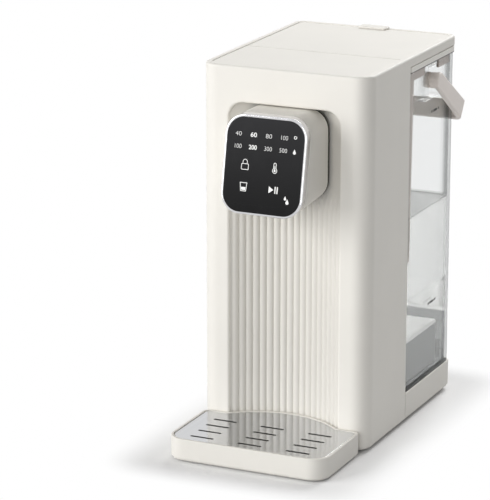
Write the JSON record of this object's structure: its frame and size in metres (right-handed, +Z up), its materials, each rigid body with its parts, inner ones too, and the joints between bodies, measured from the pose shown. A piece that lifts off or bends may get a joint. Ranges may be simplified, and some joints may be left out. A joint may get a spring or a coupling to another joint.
{
  "type": "hot water dispenser",
  "caption": "Countertop hot water dispenser with a pull-out clear rear tank, hinged lid, fluted cup alcove, tilted touch head and removable drip tray.",
  "frame": {"origin": "middle of the footprint, on the surface the feet stand on", "axes": "+Z up, the front with the head and the drip tray faces -Y, +X to the right seen from the front"},
  "size_m": [0.1548, 0.2786, 0.3096],
  "materials": {
    "body_plastic": "satin cream-white moulded plastic",
    "clear_plastic": "clear grey-tinted plastic",
    "white_plastic": "plain white moulded plastic",
    "silver_trim": "bright silver",
    "dark_glass": "glossy black panel",
    "polished_steel": "mirror-polished stainless steel",
    "handle_plastic": "satin beige plastic",
    "black_rubber": "soft black rubber",
    "silicone": "milky silicone",
    "steel": "plain steel",
    "circuit_board": "green solder mask",
    "black_plastic": "black moulded plastic",
    "aluminium": "bare aluminium"
  },
  "bodies": {
    "body": {"housing_shell": "body_plastic", "alcove_liner": "body_plastic", "deck_plate": "body_plastic", "lid_hinge_pins": "steel", "head_shell": "body_plastic", "head_seal": "black_rubber", "head_bezel": "silver_trim", "touch_panel": "dark_glass", "touch_board": "circuit_board", "head_neck": "body_plastic", "head_screws": "steel", "spout": "white_plastic", "spout_tip": "silicone", "bottom_cover": "body_plastic", "rubber_feet": "black_rubber", "base_screws": "steel", "base_chassis": "body_plastic", "cord_gland": "black_rubber", "rear_bulkhead": "white_plastic", "bulkhead_screws": "steel", "valve_socket": "white_plastic", "reed_switch": "black_plastic", "pump_volute": "white_plastic", "pump_cover": "white_plastic", "pump_motor": "steel", "pump_cradle": "black_plastic", "tank_hose": "silicone", "pump_hose": "silicone", "hot_hose": "silicone", "heater_tube": "steel", "heater_caps": "white_plastic", "heater_clips": "steel", "thermal_cutouts": "black_plastic", "temperature_probe": "steel", "power_board": "circuit_board", "heater_relay": "black_plastic", "board_transformer": "black_plastic", "board_capacitors": "black_plastic", "heat_sink": "aluminium"},
    "lid": {"top_lid": "body_plastic"},
    "tank": {"water_tank": "clear_plastic", "tank_collar": "body_plastic", "intake_cover": "white_plastic", "tank_valve": "white_plastic", "valve_gasket": "black_rubber", "valve_spring": "steel", "float_guide": "white_plastic"},
    "handle": {"carrying_handle": "handle_plastic"},
    "tray": {"drip_tray": "body_plastic", "tray_pads": "black_rubber"},
    "grate": {"drip_grate": "polished_steel"},
    "poppet": {"valve_poppet": "white_plastic"},
    "impeller": {"pump_impeller": "white_plastic"},
    "float": {"level_float": "white_plastic"}
  },
  "joints": [
    {"name": "lid_hinge", "type": "hinge", "parent": "body", "child": "lid", "pos_m": [0, 0.01733, 0.3061], "axis": [1, 0, 0], "range_deg": [0, 95]},
    {"name": "tank_slide", "type": "slide", "parent": "body", "child": "tank", "axis": [0, 1, 0], "range_m": [0, 0.11]},
    {"name": "handle_swing", "type": "hinge", "parent": "tank", "child": "handle", "pos_m": [0, 0.07873, 0.2785], "axis": [1, 0, 0], "range_deg": [0, 120]},
    {"name": "tray_slide", "type": "slide", "parent": "body", "child": "tray", "axis": [0, -1, 0], "range_m": [0, 0.105]},
    {"name": "grate_lift", "type": "slide", "parent": "tray", "child": "grate", "axis": [0, 0, 1], "range_m": [0, 0.03]},
    {"name": "poppet_slide", "type": "slide", "parent": "tank", "child": "poppet", "axis": [0, 1, 0], "range_m": [0, 0.003], "stiffness_N_per_m": 200, "springref_m": -0.002, "deforming": ["valve_spring"]},
    {"name": "impeller_spin", "type": "hinge", "parent": "body", "child": "impeller", "pos_m": [-0.036, 0.01753, 0.042], "axis": [0, 1, 0], "continuous": true},
    {"name": "float_rise", "type": "slide", "parent": "tank", "child": "float", "axis": [0, 0, 1], "range_m": [0, 0.012]}
  ]
}
